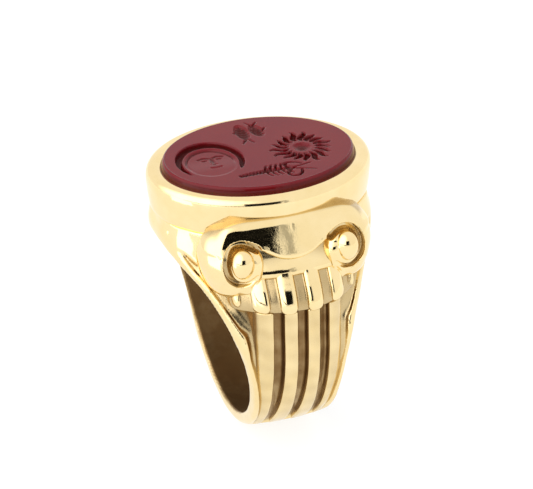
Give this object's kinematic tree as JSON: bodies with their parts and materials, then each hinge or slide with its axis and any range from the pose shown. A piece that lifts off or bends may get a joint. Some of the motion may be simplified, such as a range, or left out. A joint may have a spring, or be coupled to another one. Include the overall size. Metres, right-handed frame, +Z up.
{
  "type": "signet ring",
  "caption": "Gold signet ring with fluted-column shoulders, scrolled capitals and an oval engraved red stone set flush in a rounded bezel.",
  "frame": {"origin": "centre of the finger hole, halfway along its axis", "axes": "+Z up through the stone, +Y along the finger, +X towards the right shoulder"},
  "size_m": [0.0242, 0.021, 0.0269],
  "materials": {
    "gold": "polished yellow gold",
    "carnelian": "polished, with a matt engraving"
  },
  "bodies": {
    "root": {"shank": "gold", "bezel": "gold", "stone_seat": "gold", "stone": "carnelian", "fluted_column_right": "gold", "fluted_column_left": "gold", "necking_right": "gold", "necking_left": "gold", "echinus_right": "gold", "echinus_left": "gold", "scroll_right": "gold", "scroll_left": "gold", "eye_rear_right": "gold", "eye_rear_left": "gold", "eye_front_right": "gold", "eye_front_left": "gold"}
  },
  "joints": []
}
